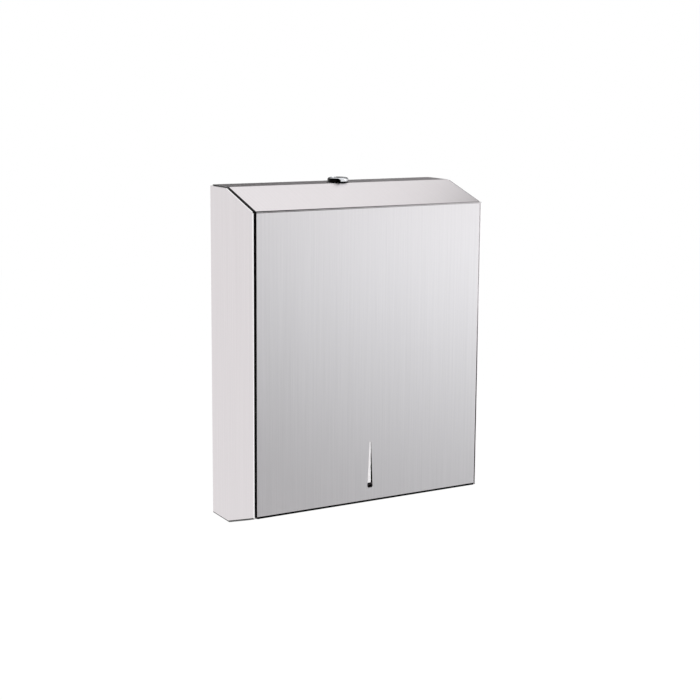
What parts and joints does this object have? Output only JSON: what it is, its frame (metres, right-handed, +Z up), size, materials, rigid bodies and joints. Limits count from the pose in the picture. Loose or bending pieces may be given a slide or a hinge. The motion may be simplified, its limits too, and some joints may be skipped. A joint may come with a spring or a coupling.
{
  "type": "wall-mounted folded paper towel dispenser",
  "caption": "Lockable brushed steel wall cabinet for folded paper towels, with sloped top and foot, a sight scoop in front and an outlet below.",
  "frame": {"origin": "centre of the four wall screw holes, on the back face that lies on the wall", "axes": "+Z up, +Y into the wall, so the front faces -Y, and +X to the right seen from the front"},
  "size_m": [0.275, 0.102, 0.3605],
  "materials": {
    "brushed_sheet": "stainless sheet with a fine brushed grain",
    "lock_chrome": "bright chrome plate",
    "zinc_plate": "dull zinc plate",
    "nylon": "natural nylon",
    "bumper_rubber": "matte black"
  },
  "bodies": {
    "case": {"cabinet": "brushed_sheet", "towel_tray": "brushed_sheet", "latch_strike": "zinc_plate", "hinge_pin_left": "zinc_plate", "hinge_pin_right": "zinc_plate", "hinge_washer_left": "nylon", "hinge_washer_right": "nylon", "hinge_clip_left": "zinc_plate", "hinge_clip_right": "zinc_plate", "bumper_left": "bumper_rubber", "bumper_right": "bumper_rubber"},
    "door": {"door": "brushed_sheet", "lock_body": "lock_chrome", "lock_washer": "zinc_plate", "lock_nut": "zinc_plate"},
    "lock": {"lock_plug": "lock_chrome", "stop_washer": "zinc_plate", "lock_cam": "zinc_plate", "cam_washer": "zinc_plate", "cam_screw": "zinc_plate"}
  },
  "joints": [
    {"name": "door_hinge", "type": "hinge", "parent": "case", "child": "door", "pos_m": [0, -0.094, -0.1525], "axis": [1, 0, 0], "range_deg": [0, 75]},
    {"name": "lock_turn", "type": "hinge", "parent": "door", "child": "lock", "pos_m": [0, -0.0285, 0.1775], "axis": [0, 0, 1], "range_deg": [0, 90]}
  ]
}
